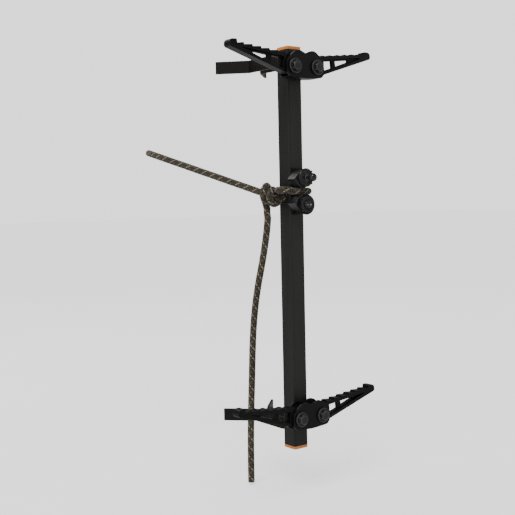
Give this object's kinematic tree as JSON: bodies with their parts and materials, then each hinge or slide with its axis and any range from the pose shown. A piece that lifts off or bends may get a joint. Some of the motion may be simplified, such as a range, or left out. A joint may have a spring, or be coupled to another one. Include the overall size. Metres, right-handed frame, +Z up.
{
  "type": "climbing stick section",
  "caption": "Square tube climbing stick section with folding double steps, V-shaped tree brackets, a twin-cam rope cleat and a braided rope looped for a trunk.",
  "frame": {"origin": "the middle of the line along which the bracket tips meet the trunk, at the tube's mid-height", "axes": "+Z up along the tube, +Y into the trunk, front of the steps towards -Y, +X to the right from the front"},
  "size_m": [0.2228, 0.3177, 0.5592],
  "materials": {
    "tube_coating": "satin powder coat",
    "cap_plastic": "moulded orange plastic",
    "black_plate": "fine powder coat on steel plate",
    "step_casting": "powder coat on cast aluminium",
    "bracket_bar": "powder coat on flat bar",
    "cam_casting": "anodised black",
    "black_steel": "black oxide",
    "knurled_steel": "knurled black oxide",
    "bolt_steel": "black oxide, worn on the corners",
    "zinc_steel": "zinc plated",
    "knob_plastic": "moulded",
    "black_nylon": "moulded nylon",
    "rope": "diamond braid with a tan tracer"
  },
  "bodies": {
    "stick": {"main_tube": "tube_coating", "upper_end_cap": "cap_plastic", "lower_end_cap": "cap_plastic", "rivet_nuts": "zinc_steel", "upper_tree_bracket": "bracket_bar", "upper_bracket_screws": "black_steel", "upper_step_spacer": "black_nylon", "upper_step_bracket": "black_plate", "upper_mounting_screws": "black_steel", "upper_pivot_bolts": "bolt_steel", "upper_pivot_washers": "bolt_steel", "upper_pivot_nuts": "zinc_steel", "lower_tree_bracket": "bracket_bar", "lower_bracket_screws": "black_steel", "lower_step_spacer": "black_nylon", "lower_step_bracket": "black_plate", "lower_mounting_screws": "black_steel", "lower_pivot_bolts": "bolt_steel", "lower_pivot_washers": "bolt_steel", "lower_pivot_nuts": "zinc_steel", "upper_cam_bolt": "bolt_steel", "upper_cam_spring": "zinc_steel", "lower_cam_bolt": "bolt_steel", "lower_cam_spring": "zinc_steel", "cleat_base": "black_plate", "upper_cam_disc": "black_steel", "lower_cam_cap": "knurled_steel", "cleat_knob": "knob_plastic", "rope_grommet": "black_nylon", "rope_lead": "rope", "rope_hitch": "rope", "rope_loop": "rope", "rope_tail": "rope"},
    "upper_left_step": {"upper_left_step": "step_casting", "upper_left_bush": "black_nylon"},
    "upper_right_step": {"upper_right_step": "step_casting", "upper_right_bush": "black_nylon"},
    "lower_left_step": {"lower_left_step": "step_casting", "lower_left_bush": "black_nylon"},
    "lower_right_step": {"lower_right_step": "step_casting", "lower_right_bush": "black_nylon"},
    "upper_cam": {"upper_cam": "cam_casting"},
    "lower_cam": {"lower_cam": "cam_casting"}
  },
  "joints": [
    {"name": "upper_left_step_fold", "type": "hinge", "parent": "stick", "child": "upper_left_step", "pos_m": [-0.0176, -0.1424, 0.226], "axis": [0, 1, 0], "range_deg": [0, 83]},
    {"name": "upper_right_step_fold", "type": "hinge", "parent": "stick", "child": "upper_right_step", "pos_m": [0.0176, -0.1424, 0.226], "axis": [0, -1, 0], "range_deg": [0, 83]},
    {"name": "lower_left_step_fold", "type": "hinge", "parent": "stick", "child": "lower_left_step", "pos_m": [-0.0176, -0.1424, -0.209], "axis": [0, 1, 0], "range_deg": [0, 83]},
    {"name": "lower_right_step_fold", "type": "hinge", "parent": "stick", "child": "lower_right_step", "pos_m": [0.0176, -0.1424, -0.209], "axis": [0, -1, 0], "range_deg": [0, 83]},
    {"name": "upper_cam_swing", "type": "hinge", "parent": "stick", "child": "upper_cam", "pos_m": [0, -0.1245, 0.0908], "axis": [0, 1, 0], "range_deg": [0, 40], "stiffness_Nm_per_rad": 0.05, "springref_deg": -28.65},
    {"name": "lower_cam_swing", "type": "hinge", "parent": "stick", "child": "lower_cam", "pos_m": [0, -0.1245, 0.0575], "axis": [0, -1, 0], "range_deg": [0, 40], "stiffness_Nm_per_rad": 0.05, "springref_deg": -28.65}
  ]
}
